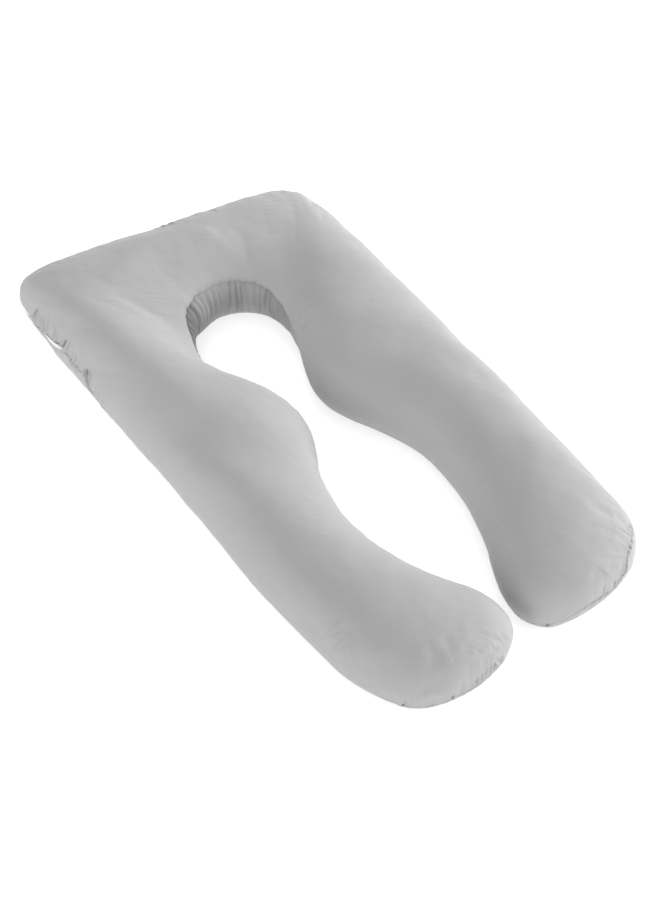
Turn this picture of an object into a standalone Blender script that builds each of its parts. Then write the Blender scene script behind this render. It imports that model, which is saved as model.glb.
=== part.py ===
"""A U-shaped body pillow, lying on its back on a flat surface.

The closed head end points to +Y, the two legs run to -Y, and the surface is at z = 0. The filled body
is lofted through cross-sections that follow the U from the tip of the -X leg, over the head, to the tip of
the +X leg. A gathered band is sewn round the head end of the opening, and a zip sits in the outer seam next
to one head corner. All sizes are in metres.
"""

import math
from collections import namedtuple

import bmesh
import bpy
from mathutils import Matrix, Vector
from mathutils.bvhtree import BVHTree

# The seam that joins the top and the bottom panel runs round the pillow at this height.
SEAM_HEIGHT = 0.080
SEAM_CREASE = 0.45

# One row for each cross-section: where the seam lies on the opening's side and on the outer side, and how
# high the crown stands above the surface. "neck" says how far the inner side is the upright wall that the
# band covers.
Station = namedtuple("Station", "inner_x inner_y outer_x outer_y crown neck")
STATIONS = [
    Station(-0.130, -0.702, -0.195, -0.702, 0.112, 0.0),
    Station(-0.055, -0.690, -0.255, -0.682, 0.138, 0.0),
    Station(-0.012, -0.645, -0.297, -0.640, 0.152, 0.0),
    Station(-0.020, -0.565, -0.328, -0.567, 0.161, 0.0),
    Station(-0.074, -0.475, -0.339, -0.470, 0.164, 0.0),
    Station(-0.109, -0.370, -0.345, -0.355, 0.161, 0.0),
    Station(-0.120, -0.260, -0.348, -0.220, 0.164, 0.0),
    Station(-0.098, -0.150, -0.345, -0.070, 0.170, 0.0),
    Station(-0.048, -0.050, -0.345, 0.095, 0.173, 0.0),
    Station(-0.040, 0.045, -0.344, 0.265, 0.172, 0.0),
    Station(-0.086, 0.114, -0.345, 0.405, 0.168, 0.1),
    Station(-0.108, 0.177, -0.341, 0.512, 0.165, 0.4),
    Station(-0.114, 0.236, -0.340, 0.612, 0.160, 0.8),
    Station(-0.109, 0.290, -0.300, 0.702, 0.157, 1.0),
    Station(-0.090, 0.336, -0.190, 0.698, 0.162, 1.0),
    Station(-0.051, 0.372, -0.090, 0.677, 0.164, 1.0),
    Station(0.000, 0.388, 0.000, 0.657, 0.166, 1.0),
    Station(0.051, 0.376, 0.090, 0.650, 0.164, 1.0),
    Station(0.088, 0.338, 0.180, 0.646, 0.162, 1.0),
    Station(0.099, 0.284, 0.270, 0.640, 0.158, 1.0),
    Station(0.092, 0.230, 0.336, 0.598, 0.158, 0.8),
    Station(0.070, 0.175, 0.357, 0.512, 0.163, 0.4),
    Station(0.046, 0.112, 0.362, 0.405, 0.168, 0.1),
    Station(0.036, 0.037, 0.361, 0.265, 0.173, 0.0),
    Station(0.071, -0.050, 0.357, 0.095, 0.173, 0.0),
    Station(0.117, -0.150, 0.352, -0.070, 0.171, 0.0),
    Station(0.124, -0.260, 0.351, -0.220, 0.165, 0.0),
    Station(0.104, -0.370, 0.349, -0.355, 0.162, 0.0),
    Station(0.068, -0.475, 0.347, -0.470, 0.165, 0.0),
    Station(0.028, -0.565, 0.342, -0.565, 0.161, 0.0),
    Station(0.030, -0.640, 0.305, -0.632, 0.150, 0.0),
    Station(0.075, -0.672, 0.255, -0.662, 0.136, 0.0),
    Station(0.130, -0.680, 0.200, -0.676, 0.110, 0.0),
]

# The points of one cross-section, from the inner seam over the crown to the outer seam and back underneath.
# "across" runs from -1 at the inner seam to 1 at the outer one. "rise" is the share of the height from the
# seam to the crown or, below zero, from the seam to a little under the surface, where the filling presses
# the cloth flat.
SectionPoint = namedtuple("SectionPoint", "across rise neck_across neck_rise")
SECTION = [
    SectionPoint(-1.00, 0.00, -1.00, -0.05),
    SectionPoint(-0.74, 0.75, -0.83, 0.55),
    SectionPoint(0.00, 1.00, 0.00, 1.00),
    SectionPoint(0.74, 0.75, 0.74, 0.68),
    SectionPoint(1.00, 0.00, 1.00, 0.00),
    SectionPoint(0.74, -0.80, 0.74, -0.80),
    SectionPoint(0.00, -1.00, 0.00, -1.00),
    SectionPoint(-0.74, -0.80, -0.64, -0.85),
]
INNER_SEAM = 0
BAND_SEAM = 1
OUTER_SEAM = 4
PRESSED_DEPTH = 0.006
# At the thin leg tips the underside hangs at most this many times as far below the seam as the crown
# stands above it.
TIP_UNDERSIDE = 1.2
SUBDIVISIONS = 2
FITTING_ROUNDS = 12

# The band follows the wall round this centre, between two angles from +X, and narrows to both ends.
NECK_CENTRE = Vector((-0.005, 0.262, 0.0))
NECK_RADIUS = 0.1
BAND_FROM = math.radians(-24)
BAND_TO = math.radians(204)
BAND_TOP = 0.124
BAND_BOTTOM = 0.022
BAND_END_WIDTH = 0.030
BAND_COLUMNS = 64
BAND_ROWS = 12
BAND_THICKNESS = 0.0015
BAND_GAP = 0.0010
GATHER_PITCH = 0.024
GATHER_DEPTH = 0.0035

# The zip lies in the outer seam of the -X side, next to the head corner, where the seam is drawn up.
ZIP_FROM_Y = 0.455
ZIP_TO_Y = 0.535
ZIP_HEIGHT = 0.088
ZIP_WIDTH = 0.006
ZIP_THICKNESS = 0.0015
ZIP_GAP = 0.0005
ZIP_COLUMNS = 12
ZIP_ROWS = 2

GREY_COTTON = (0.46, 0.46, 0.465, 1.0)
WHITE_TAPE = (0.86, 0.86, 0.85, 1.0)


def clear_scene():
    for obj in list(bpy.data.objects):
        bpy.data.objects.remove(obj, do_unlink=True)


def material(name, colour, roughness):
    finish = bpy.data.materials.new(name)
    finish.use_nodes = True
    shader = finish.node_tree.nodes["Principled BSDF"]
    shader.inputs["Base Color"].default_value = colour
    shader.inputs["Roughness"].default_value = roughness
    shader.inputs["Metallic"].default_value = 0.0
    finish.diffuse_color = colour
    return finish


def add_object(name, mesh, collection, finish):
    for polygon in mesh.polygons:
        polygon.use_smooth = True
    mesh.materials.clear()
    mesh.materials.append(finish)
    obj = bpy.data.objects.new(name, mesh)
    collection.objects.link(obj)
    return obj


def section_points(station):
    """The surface points of the cross-section at one station."""
    inner = Vector((station.inner_x, station.inner_y, 0.0))
    outer = Vector((station.outer_x, station.outer_y, 0.0))
    middle = (inner + outer) / 2
    half = (outer - inner) / 2
    above = station.crown - SEAM_HEIGHT
    below = min(SEAM_HEIGHT + PRESSED_DEPTH, above * TIP_UNDERSIDE)
    points = []
    for point in SECTION:
        across = point.across + (point.neck_across - point.across) * station.neck
        rise = point.rise + (point.neck_rise - point.rise) * station.neck
        height = SEAM_HEIGHT + rise * (above if rise > 0 else below)
        points.append(middle + half * across + Vector((0.0, 0.0, height)))
    return points


def body_cage():
    """A tube of quads through the cross-sections, closed by a strip of faces at each leg tip.

    The seam is creased. Round the neck it gives way to the band, whose upper seam is creased instead.
    """
    bm = bmesh.new()
    crease = bm.edges.layers.float.new("crease_edge")
    rings = [[bm.verts.new(point) for point in section_points(station)] for station in STATIONS]
    count = len(SECTION)
    for ring, following in zip(rings, rings[1:]):
        for side in range(count):
            after = (side + 1) % count
            bm.faces.new((ring[side], ring[after], following[after], following[side]))
        for seam in (INNER_SEAM, OUTER_SEAM):
            bm.edges.get((ring[seam], following[seam]))[crease] = SEAM_CREASE
    for ring in (rings[0], rings[-1]):
        inner_seam, inner_top, crown, outer_top, outer_seam, outer_under, under, inner_under = ring
        bm.faces.new((inner_seam, inner_top, inner_under))
        bm.faces.new((inner_top, crown, under, inner_under))
        bm.faces.new((crown, outer_top, outer_under, under))
        bm.faces.new((outer_top, outer_seam, outer_under))
    for ring, following, station in zip(rings, rings[1:], STATIONS[1:]):
        if station.neck == 1.0:
            bm.edges.get((ring[INNER_SEAM], following[INNER_SEAM]))[crease] = 0.0
            bm.edges.get((ring[BAND_SEAM], following[BAND_SEAM]))[crease] = SEAM_CREASE
    bmesh.ops.recalc_face_normals(bm, faces=bm.faces[:])
    mesh = bpy.data.meshes.new("pillow_cage")
    bm.to_mesh(mesh)
    bm.free()
    return mesh


def smooth_body(collection):
    """The subdivided body, with its cage pushed out until the surface passes through the cross-sections."""
    cage = bpy.data.objects.new("pillow_cage", body_cage())
    collection.objects.link(cage)
    rounding = cage.modifiers.new("rounding", "SUBSURF")
    rounding.levels = SUBDIVISIONS
    rounding.render_levels = SUBDIVISIONS
    wanted = [vertex.co.copy() for vertex in cage.data.vertices]
    for _ in range(FITTING_ROUNDS):
        surface = cage.evaluated_get(bpy.context.evaluated_depsgraph_get()).data
        shifts = [target - surface.vertices[index].co for index, target in enumerate(wanted)]
        for vertex, shift in zip(cage.data.vertices, shifts):
            vertex.co += shift
        cage.data.update()
    mesh = bpy.data.meshes.new_from_object(cage.evaluated_get(bpy.context.evaluated_depsgraph_get()))
    bpy.data.objects.remove(cage, do_unlink=True)
    return mesh


def press_flat(mesh):
    """Everything that would sink below the surface is pressed flat on it."""
    for vertex in mesh.vertices:
        vertex.co.z = max(vertex.co.z, 0.0)


def strip_on(skin, name, ray, lift, columns, rows):
    """A sheet laid on the skin: a grid whose points are cast along ray(u, v), then drawn back off the skin."""
    bm = bmesh.new()
    bmesh.ops.create_grid(bm, x_segments=columns, y_segments=rows, size=0.5)
    for vertex in bm.verts:
        u = vertex.co.x + 0.5
        v = vertex.co.y + 0.5
        origin, direction = ray(u, v)
        place, normal, _, _ = skin.ray_cast(origin, direction)
        vertex.co = place + direction * (lift(u, v) / direction.dot(normal))
    mesh = bpy.data.meshes.new(name)
    bm.to_mesh(mesh)
    bm.free()
    return mesh


def thicken(obj, thickness):
    """The sheets' faces look into the pillow, so the thickness goes to their back."""
    sheet = obj.modifiers.new("thickness", "SOLIDIFY")
    sheet.thickness = thickness
    sheet.offset = -1.0


def rounded(share):
    """Rises steeply from 0 at either end to 1 in the middle."""
    return math.sqrt(max(math.sin(math.pi * share), 0.0))


def band_ray(u, v):
    """From the middle of the neck out to its wall. The band's height shrinks towards both ends."""
    angle = BAND_FROM + (BAND_TO - BAND_FROM) * u
    fullness = rounded(u)
    middle = (BAND_TOP + BAND_BOTTOM) / 2
    half = (BAND_END_WIDTH + (BAND_TOP - BAND_BOTTOM - BAND_END_WIDTH) * fullness) / 2
    height = middle + half * (2 * v - 1)
    origin = NECK_CENTRE + Vector((0.0, 0.0, height))
    return origin, Vector((math.cos(angle), math.sin(angle), 0.0))


def band_lift(u, v):
    """The gathers: upright ribs that flatten out into the seams above and below."""
    gathers = round(NECK_RADIUS * (BAND_TO - BAND_FROM) / GATHER_PITCH)
    rib = (1 + math.cos(2 * math.pi * u * gathers)) / 2
    return BAND_GAP + GATHER_DEPTH * rib * rounded(v)


def zip_ray(u, v):
    """From outside the -X side straight in to the seam."""
    y = ZIP_FROM_Y + (ZIP_TO_Y - ZIP_FROM_Y) * u
    z = ZIP_HEIGHT + ZIP_WIDTH * (v - 0.5)
    return Vector((-1.0, y, z)), Vector((1.0, 0.0, 0.0))


def centre_footprint(meshes, body):
    """Moves all pieces so that the origin is under the middle of the pillow's box."""
    places = [vertex.co for vertex in body.vertices]
    middle = Vector((0.0, 0.0, 0.0))
    for axis in (0, 1):
        middle[axis] = (min(place[axis] for place in places) + max(place[axis] for place in places)) / 2
    for mesh in meshes:
        mesh.transform(Matrix.Translation(-middle))


def main():
    clear_scene()
    collection = bpy.data.collections.new("u_shaped_pillow")
    bpy.context.scene.collection.children.link(collection)
    grey = material("grey_cotton", GREY_COTTON, 0.85)
    white = material("white_zip_tape", WHITE_TAPE, 0.6)

    body = smooth_body(collection)
    press_flat(body)
    pillow = add_object("pillow", body, collection, grey)
    skin = BVHTree.FromObject(pillow, bpy.context.evaluated_depsgraph_get())

    band = strip_on(skin, "neck_band", band_ray, band_lift, BAND_COLUMNS, BAND_ROWS)
    thicken(add_object("neck_band", band, collection, grey), BAND_THICKNESS)

    tape = strip_on(skin, "zip", zip_ray, lambda u, v: ZIP_GAP, ZIP_COLUMNS, ZIP_ROWS)
    thicken(add_object("zip", tape, collection, white), ZIP_THICKNESS)

    centre_footprint((body, band, tape), body)


main()
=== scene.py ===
"""A U-shaped body pillow in a smooth grey cotton cover, lying on a pale floor."""

import math
from collections import namedtuple

import bmesh
import bpy
import numpy as np
from mathutils import Matrix, Vector, noise
from mathutils.bvhtree import BVHTree
from mathutils.kdtree import KDTree


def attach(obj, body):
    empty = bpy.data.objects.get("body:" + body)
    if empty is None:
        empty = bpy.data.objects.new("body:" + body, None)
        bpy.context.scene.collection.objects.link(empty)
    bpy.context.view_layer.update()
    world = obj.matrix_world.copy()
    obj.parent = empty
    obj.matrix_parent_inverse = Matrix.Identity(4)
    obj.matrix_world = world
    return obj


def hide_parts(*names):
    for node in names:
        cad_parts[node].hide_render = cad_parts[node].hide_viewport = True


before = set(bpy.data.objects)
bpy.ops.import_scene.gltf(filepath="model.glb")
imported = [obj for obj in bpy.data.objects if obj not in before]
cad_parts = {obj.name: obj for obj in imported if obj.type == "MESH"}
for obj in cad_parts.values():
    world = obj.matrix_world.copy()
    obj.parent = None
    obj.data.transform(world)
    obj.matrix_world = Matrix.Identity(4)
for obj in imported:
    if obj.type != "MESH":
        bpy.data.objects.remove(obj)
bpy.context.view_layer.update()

# The camera
# It looks down along the pillow from beyond the tip of the -X leg, with a long lens, so that the far head
# end is hardly smaller than the near leg.
CAMERA_PLACE = (-1.8090, -2.6377, 3.4609)
CAMERA_TILT = 42.524
CAMERA_HEADING = -34.718
LENS_MM = 91.02


def link(obj):
    bpy.context.scene.collection.objects.link(obj)
    return obj


camera_data = bpy.data.cameras.new("camera")
camera_data.lens = LENS_MM
camera = link(bpy.data.objects.new("camera", camera_data))
camera.location = CAMERA_PLACE
camera.rotation_euler = (math.radians(CAMERA_TILT), 0.0, math.radians(CAMERA_HEADING))
bpy.context.scene.camera = camera

# The pillow cover
# One closed bag of smooth grey cotton, cut as a top and a bottom panel and blown up by loose fibre filling.
# The panels are sewn together inside out, in one seam that runs right round the widest line. The seam
# gathers the cloth a little, most at the leg tips and where the zip is let in.
SEAM_HEIGHT = 0.080
SAME_PLACE = 0.00001
VOXEL = 0.0075
SLACK = 0.0005
SWELL = 0.011
SLACK_REACH = 0.022
FILLING_PRESSURE = 4.0
CLOTH_FRAMES = 20
SEAM_ROWS = (-0.0052, -0.0026, 0.0, 0.0026, 0.0052)
CUT_SNAP = 0.0003
LONGEST_STEP = 0.02
SHORTEST_STEP = 0.0005
SEAM_DEPTH = 0.0006
SEAM_DEPTH_BY_GATHERING = 1.5
SEAM_WIDTH = 0.0022
SEAM_LINE_WIDTH = 0.0016

# The cloth rolls up a little on either side of the seam.
ROLL_SHARE = 0.35
ROLL_AT = 0.0065
ROLL_WIDTH = 0.0035

# The puckers: how far apart and how long they are, and their height in depths of the gathering.
PUCKER_PITCH = 0.0085
PUCKER_LENGTH = 0.035
PUCKER_HEIGHT = 2.2
PUCKERS_FROM = 0.004

# The faces are made smaller within these distances of the seam.
FINE_REACH = 0.032
FINEST_REACH = 0.024
FINEST_STRETCHES = ((0.42, 0.74), (4.44, 4.62))

# Where the seam leaves its usual height: the whole rise as far as "reach", and falling off over "fade".
SeamLift = namedtuple("SeamLift", "x y reach fade rise")
SEAM_LIFTS = (
    SeamLift(-0.350, 0.415, 0.045, 0.035, 0.012),
    SeamLift(-0.345, 0.560, 0.010, 0.050, -0.007),
    SeamLift(-0.380, 0.120, 0.150, 0.080, -0.036),
    SeamLift(-0.100, -0.350, 0.360, 0.140, -0.036),
    SeamLift(-0.190, -0.720, 0.100, 0.090, -0.044),
    SeamLift(0.150, -0.690, 0.070, 0.050, -0.030),
    SeamLift(0.282, -0.636, 0.026, 0.040, 0.034),
)

# Stretches of the seam that are gathered more than the rest, by distance along the seam from the middle of
# the head, towards the -X side: how deep the puckers are and how far they reach on to the panels.
Gathering = namedtuple("Gathering", "start end depth reach")
GATHERINGS = (
    Gathering(0.40, 0.60, 0.0016, 0.024),
    Gathering(0.60, 0.78, 0.0012, 0.022),
    Gathering(1.68, 1.84, 0.0006, 0.016),
    Gathering(1.84, 1.99, 0.0007, 0.030),
    Gathering(4.40, 4.60, 0.0012, 0.014),
    Gathering(6.00, 6.15, 0.0004, 0.030),
)
PLAIN_GATHERING = Gathering(0.0, 0.0, 0.00015, 0.010)
GATHERING_FADE = 0.03

# The stretch of the seam that is left open for the zip. Half the opening's width is the tape's whole width.
# Then how deep the opening is, how high its upper lip stands and how wide it is, and how wide the painted
# shadow below the lip is.
SLIT_FROM = 0.486
SLIT_TO = 0.576
SLIT_FADE = 0.006
SLIT_WIDTH = 0.0090
SLIT_DEPTH = 0.0016
LIP_HEIGHT = 0.0016
LIP_WIDTH = 0.0022
LIP_SHADE_WIDTH = 0.0020

# The painted shade of the seam's groove, darker where the seam is gathered, and the depth from which a fold's
# valley gets painted shade too.
DEEP_FOLD = 0.0040
PLAIN_SHADE = 0.08
SHADE_BY_GATHERING = 220.0

# Single folds beside the seam: from and to, along the seam and above it, then width and depth.
RIDGE_SHARE = 0.45
RIDGE_AT = 1.9
Fold = namedtuple("Fold", "from_along from_above to_along to_above width depth")
FOLDS = (
    Fold(0.4475, 0.006, 0.4440, 0.040, 0.0034, 0.0075),
    Fold(0.4600, 0.010, 0.4560, 0.056, 0.0030, 0.0030),
    Fold(0.4745, 0.006, 0.4700, 0.050, 0.0030, 0.0036),
    Fold(0.4850, 0.006, 0.4790, 0.060, 0.0030, 0.0032),
    Fold(0.4980, 0.006, 0.4910, 0.046, 0.0030, 0.0038),
    Fold(0.5110, 0.008, 0.5030, 0.062, 0.0032, 0.0038),
    Fold(0.5330, 0.008, 0.5260, 0.056, 0.0032, 0.0036),
    Fold(0.5505, 0.008, 0.5420, 0.064, 0.0032, 0.0030),
    Fold(0.5740, 0.004, 0.5700, 0.026, 0.0034, 0.0055),
    Fold(0.5900, 0.002, 0.5865, 0.036, 0.0030, 0.0026),
    Fold(0.6130, -0.014, 0.6100, 0.024, 0.0024, 0.0030),
    Fold(0.6250, -0.014, 0.6220, 0.028, 0.0024, 0.0032),
    Fold(0.6380, -0.014, 0.6350, 0.022, 0.0024, 0.0026),
    Fold(0.6630, 0.0150, 0.6860, 0.0010, 0.0042, 0.0120),
    Fold(0.6830, 0.0020, 0.7020, -0.0160, 0.0032, 0.0064),
    Fold(0.7080, 0.004, 0.6980, 0.050, 0.0034, 0.0026),
    Fold(0.7200, 0.004, 0.7120, 0.046, 0.0034, 0.0020),
    Fold(0.7340, 0.004, 0.7260, 0.052, 0.0036, 0.0026),
    Fold(0.7520, 0.000, 0.7430, 0.040, 0.0036, 0.0016),
    Fold(1.5060, 0.064, 1.5200, 0.105, 0.0060, 0.0026),
    Fold(1.5200, 0.060, 1.5340, 0.108, 0.0055, 0.0032),
    Fold(1.5380, 0.072, 1.5600, 0.108, 0.0050, 0.0028),
    Fold(1.5520, 0.058, 1.5680, 0.104, 0.0055, 0.0032),
    Fold(1.5680, 0.064, 1.5900, 0.102, 0.0050, 0.0028),
    Fold(1.5820, 0.056, 1.6000, 0.098, 0.0050, 0.0018),
    Fold(1.6000, 0.060, 1.6200, 0.100, 0.0060, 0.0016),
    Fold(1.6160, 0.056, 1.6380, 0.096, 0.0070, 0.0014),
    Fold(1.7150, -0.003, 1.7140, 0.010, 0.0030, 0.0050),
    Fold(1.7200, 0.010, 1.7180, 0.060, 0.0060, 0.0014),
    Fold(1.7700, 0.004, 1.7680, 0.060, 0.0060, 0.0014),
    Fold(1.8120, -0.003, 1.8110, 0.012, 0.0024, 0.0042),
    Fold(1.8300, 0.004, 1.8260, 0.060, 0.0050, 0.0014),
    Fold(1.8660, 0.004, 1.8650, 0.030, 0.0022, 0.0028),
    Fold(1.8780, 0.004, 1.8760, 0.040, 0.0024, 0.0018),
    Fold(1.8880, 0.006, 1.8850, 0.050, 0.0024, 0.0017),
    Fold(1.8990, 0.006, 1.8950, 0.058, 0.0024, 0.0014),
    Fold(1.9100, 0.006, 1.9060, 0.056, 0.0024, 0.0016),
    Fold(1.9220, 0.006, 1.9170, 0.056, 0.0024, 0.0018),
    Fold(1.9340, 0.006, 1.9280, 0.052, 0.0024, 0.0016),
    Fold(1.9420, 0.060, 1.9080, 0.108, 0.0060, 0.0014),
    Fold(4.3300, -0.014, 4.3340, -0.002, 0.0036, 0.0041),
    Fold(4.2700, -0.003, 4.2740, 0.011, 0.0034, 0.0041),
    Fold(4.4600, 0.002, 4.4540, 0.040, 0.0040, 0.0012),
    Fold(4.4900, 0.002, 4.4860, 0.050, 0.0036, 0.0012),
    Fold(4.5120, -0.006, 4.5140, 0.008, 0.0026, 0.0036),
    Fold(4.5350, 0.002, 4.5350, 0.050, 0.0036, 0.0012),
    Fold(4.5480, -0.005, 4.5470, 0.008, 0.0026, 0.0030),
    Fold(4.5620, -0.004, 4.5610, 0.007, 0.0026, 0.0026),
    Fold(4.5700, 0.004, 4.5720, 0.050, 0.0036, 0.0012),
    Fold(4.5960, -0.003, 4.5980, 0.010, 0.0028, 0.0036),
    Fold(6.1740, 0.048, 6.1680, 0.076, 0.0045, 0.0036),
    Fold(6.1560, 0.048, 6.1500, 0.078, 0.0045, 0.0034),
    Fold(6.1380, 0.050, 6.1320, 0.090, 0.0050, 0.0016),
    Fold(6.1000, 0.050, 6.0940, 0.100, 0.0060, 0.0012),
    Fold(6.0600, 0.050, 6.0540, 0.105, 0.0070, 0.0012),
)

# Broad soft hollows in the filling, and swells where the depth is below 0: the middle, how far it reaches
# lengthways and crossways, the lengthways direction in degrees from +X, and the depth.
Hollow = namedtuple("Hollow", "x y z length width turn depth")
HOLLOWS = (
    Hollow(0.045, -0.545, 0.112, 0.045, 0.028, 80, 0.0080),
    Hollow(-0.290, 0.060, 0.150, 0.100, 0.050, -50, 0.0045),
    Hollow(-0.268, 0.290, 0.165, 0.120, 0.045, 90, -0.0045),
    Hollow(-0.235, -0.060, 0.165, 0.100, 0.055, -55, 0.0060),
    Hollow(-0.310, -0.060, 0.140, 0.100, 0.045, -60, -0.0050),
    Hollow(-0.275, -0.330, 0.155, 0.130, 0.045, -80, 0.0050),
    Hollow(-0.160, -0.020, 0.165, 0.090, 0.055, -50, -0.0040),
    Hollow(-0.110, 0.490, 0.155, 0.080, 0.045, 20, 0.0045),
    Hollow(-0.190, 0.580, 0.150, 0.100, 0.040, 10, 0.0035),
    Hollow(0.060, 0.500, 0.160, 0.060, 0.035, -60, -0.0035),
    Hollow(0.205, 0.270, 0.165, 0.110, 0.045, -40, 0.0050),
    Hollow(0.150, 0.170, 0.160, 0.080, 0.035, -70, -0.0040),
    Hollow(0.215, 0.020, 0.165, 0.120, 0.045, -30, 0.0050),
    Hollow(0.280, -0.050, 0.160, 0.140, 0.040, -60, -0.0035),
    Hollow(0.180, -0.230, 0.165, 0.100, 0.050, -20, 0.0045),
    Hollow(0.250, -0.350, 0.160, 0.120, 0.045, -50, -0.0035),
    Hollow(0.120, -0.500, 0.150, 0.090, 0.045, 60, 0.0040),
    Hollow(0.340, 0.080, 0.125, 0.500, 0.060, 90, -0.0060),
    Hollow(0.335, 0.500, 0.120, 0.110, 0.060, 90, -0.0035),
    Hollow(0.340, -0.220, 0.120, 0.160, 0.060, 90, -0.0030),
    Hollow(-0.355, 0.190, 0.060, 0.120, 0.060, 90, -0.0040),
    Hollow(0.020, 0.670, 0.120, 0.170, 0.050, 0, -0.0050),
    Hollow(-0.260, 0.700, 0.100, 0.080, 0.050, 0, 0.0020),
    Hollow(-0.350, 0.600, 0.060, 0.060, 0.050, 90, 0.0030),
    Hollow(-0.350, 0.485, 0.028, 0.040, 0.028, 90, -0.0070),
    Hollow(-0.110, 0.235, 0.110, 0.070, 0.045, -45, 0.0055),
    Hollow(-0.050, 0.130, 0.110, 0.070, 0.045, -45, -0.0050),
    Hollow(-0.125, -0.215, 0.110, 0.090, 0.045, -60, -0.0045),
    Hollow(-0.040, -0.640, 0.080, 0.070, 0.060, 60, -0.0060),
    Hollow(0.045, -0.450, 0.080, 0.080, 0.045, 90, -0.0035),
    Hollow(0.235, -0.665, 0.060, 0.060, 0.050, 20, -0.0045),
    Hollow(-0.050, 0.400, 0.030, 0.055, 0.040, 15, -0.0095),
    Hollow(0.300, -0.625, 0.050, 0.060, 0.040, 50, -0.0060),
    Hollow(0.010, 0.690, 0.090, 0.060, 0.050, 0, -0.0020),
    Hollow(0.250, 0.660, 0.120, 0.060, 0.050, -20, 0.0035),
    Hollow(0.345, -0.050, 0.120, 0.130, 0.060, 90, 0.0025),
    Hollow(-0.350, 0.620, 0.090, 0.060, 0.050, 90, -0.0035),
    Hollow(-0.040, 0.130, 0.100, 0.050, 0.040, -45, -0.0030),
)

# Faint tension creases: they run from the seam up on to the panels, wherever the filling pulls on the cloth.
STREAK_PITCH = 0.026
STREAK_LENGTH = 0.13
STREAK_DEPTH = 0.0012
CREASED_REACH = 0.11

# The loose filling leaves the cloth a little lumpy, but not where it lies on the floor.
BROAD_LUMP = 0.0022
BROAD_LUMP_SIZE = 0.085
SMALL_LUMP = 0.0008
SMALL_LUMP_SIZE = 0.030
SMALL_LUMP_START = Vector((5, 5, 5))
FLOOR_REACH = 0.02

# How far round its seam a panel bends, for the run of its threads.
BEND_RADIUS = 0.09


def places_of(mesh):
    found = np.empty(len(mesh.vertices) * 3)
    mesh.vertices.foreach_get("co", found)
    return found.reshape(-1, 3)


def normals_of(mesh):
    found = np.empty(len(mesh.vertices) * 3)
    mesh.vertices.foreach_get("normal", found)
    return found.reshape(-1, 3)


def shade_smooth(mesh):
    for polygon in mesh.polygons:
        polygon.use_smooth = True


def put(mesh, places):
    mesh.vertices.foreach_set("co", np.ascontiguousarray(places).ravel())
    mesh.update()


def smoothstep(low, high, value):
    share = np.clip((value - low) / (high - low), 0.0, 1.0)
    return share * share * (3 - 2 * share)


def bell(value):
    """1 at 0, and falling off softly on either side."""
    return np.exp(-(value**2))


def flattened(obj, name):
    """The object's mesh as its modifiers leave it, in a mesh of its own."""
    mesh = bpy.data.meshes.new_from_object(obj.evaluated_get(bpy.context.evaluated_depsgraph_get()))
    mesh.name = name
    obj.modifiers.clear()
    obj.data = mesh
    return mesh


def seam_rise(x, y):
    """How far the seam at this place lies above or below its usual height."""
    up = np.zeros(np.shape(x))
    down = np.zeros(np.shape(x))
    for lift in SEAM_LIFTS:
        away = np.hypot(x - lift.x, y - lift.y)
        rise = lift.rise * (1 - smoothstep(lift.reach, lift.reach + lift.fade, away))
        up = np.maximum(up, rise)
        down = np.minimum(down, rise)
    return up + down


def slack_cover():
    """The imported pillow, drawn in a little everywhere but at its seam and underneath, in even small faces."""
    bm = bmesh.new()
    bm.from_mesh(bpy.data.objects["pillow"].data)
    bmesh.ops.remove_doubles(bm, verts=bm.verts[:], dist=SAME_PLACE)
    mesh = bpy.data.meshes.new("pillow_cover")
    bm.to_mesh(mesh)
    bm.free()
    places = places_of(mesh)
    inward = normals_of(mesh)
    inward[:, 2] = np.maximum(inward[:, 2], 0.0)
    height = places[:, 2] - SEAM_HEIGHT - seam_rise(places[:, 0], places[:, 1])
    put(mesh, places - inward * SLACK * smoothstep(0.0, SLACK_REACH, np.abs(height))[:, None])
    obj = link(bpy.data.objects.new("pillow_cover", mesh))
    even = obj.modifiers.new("even faces", "REMESH")
    even.mode = "VOXEL"
    even.voxel_size = VOXEL
    flattened(obj, "pillow_cover")
    return obj


def blow_up(obj):
    """The filling pushes the cover out, while the floor and the sewn seam hold it."""
    start = places_of(obj.data)
    seam = SEAM_HEIGHT + seam_rise(start[:, 0], start[:, 1])
    fixed = (start[:, 2] < VOXEL) | (np.abs(start[:, 2] - seam) < VOXEL * 0.6)
    held = obj.vertex_groups.new(name="held")
    held.add(np.flatnonzero(fixed).tolist(), 1.0, "REPLACE")
    cloth = obj.modifiers.new("filling", "CLOTH")
    cloth.settings.effector_weights.gravity = 0.0
    cloth.settings.use_pressure = True
    cloth.settings.uniform_pressure_force = FILLING_PRESSURE
    cloth.settings.vertex_group_mass = held.name
    cloth.collision_settings.use_collision = False
    cloth.collision_settings.use_self_collision = False
    cloth.point_cache.frame_start = 1
    cloth.point_cache.frame_end = CLOTH_FRAMES
    for moment in range(1, CLOTH_FRAMES + 1):
        bpy.context.scene.frame_set(moment)
    blown = flattened(obj, "pillow_cover")
    obj.vertex_groups.clear()
    bpy.context.scene.frame_set(1)
    moved = places_of(blown) - start
    length = np.linalg.norm(moved, axis=1, keepdims=True) + 1e-9
    final = start + moved / length * SWELL * np.tanh(length / SWELL)
    final[:, 2] = np.maximum(final[:, 2], 0.0)
    put(blown, final)


def smooth_once(obj):
    calming = obj.modifiers.new("calming", "SMOOTH")
    calming.factor = 0.5
    calming.iterations = 3
    smoothing = obj.modifiers.new("smoothing", "SUBSURF")
    smoothing.levels = 1
    smoothing.render_levels = 1
    flattened(obj, obj.name)


def level_seam(mesh, way):
    """Shears the mesh so that its seam lies level, or back."""
    places = places_of(mesh)
    places[:, 2] += way * seam_rise(places[:, 0], places[:, 1])
    put(mesh, places)


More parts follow.
